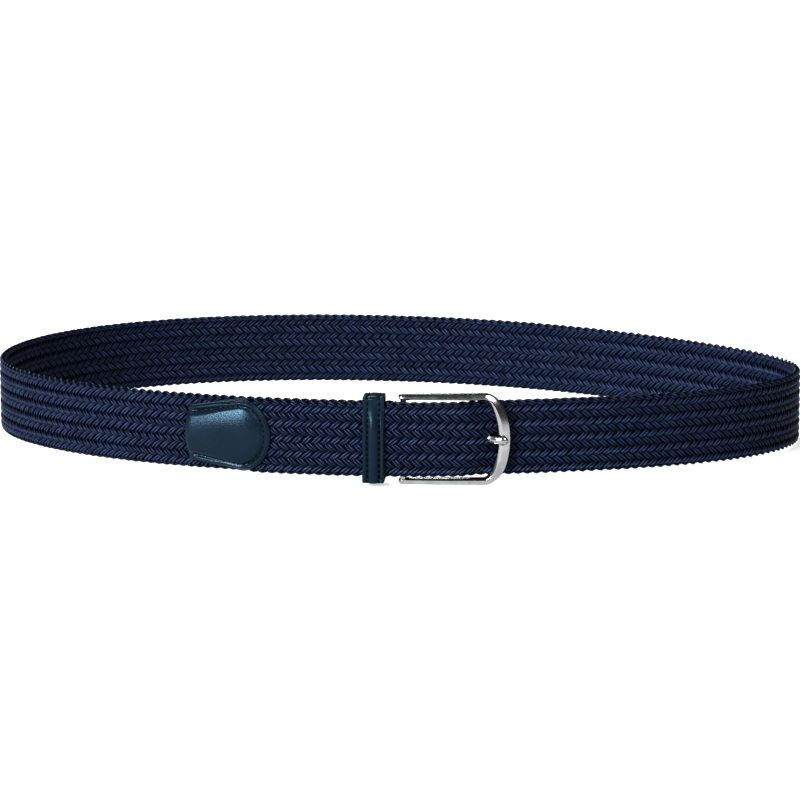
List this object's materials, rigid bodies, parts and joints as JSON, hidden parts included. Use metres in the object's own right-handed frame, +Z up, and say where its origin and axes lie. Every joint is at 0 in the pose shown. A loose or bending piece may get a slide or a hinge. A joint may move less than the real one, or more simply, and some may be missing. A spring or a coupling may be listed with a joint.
{
  "type": "elastic stretch belt",
  "caption": "Braided elastic stretch belt, fastened as a loop and standing on its edge, with a leather tip, a leather keeper and a D-shaped prong buckle.",
  "frame": {"origin": "middle of the footprint, on the surface that the belt stands on", "axes": "+X runs along the loop's length, the buckle faces -Y, +Z is up along the strap's width"},
  "size_m": [0.3936, 0.258, 0.0435],
  "materials": {
    "braid": "matte braided elastic cord, dark navy",
    "leather": "smooth semi-gloss leather, dark blue",
    "buckle_metal": "satin silver with bright bevels"
  },
  "bodies": {
    "root": {"strap": "braid", "tip_leather": "leather", "chape_leather": "leather", "keeper_loop": "leather", "buckle_frame": "buckle_metal", "buckle_prong": "buckle_metal"}
  },
  "joints": []
}
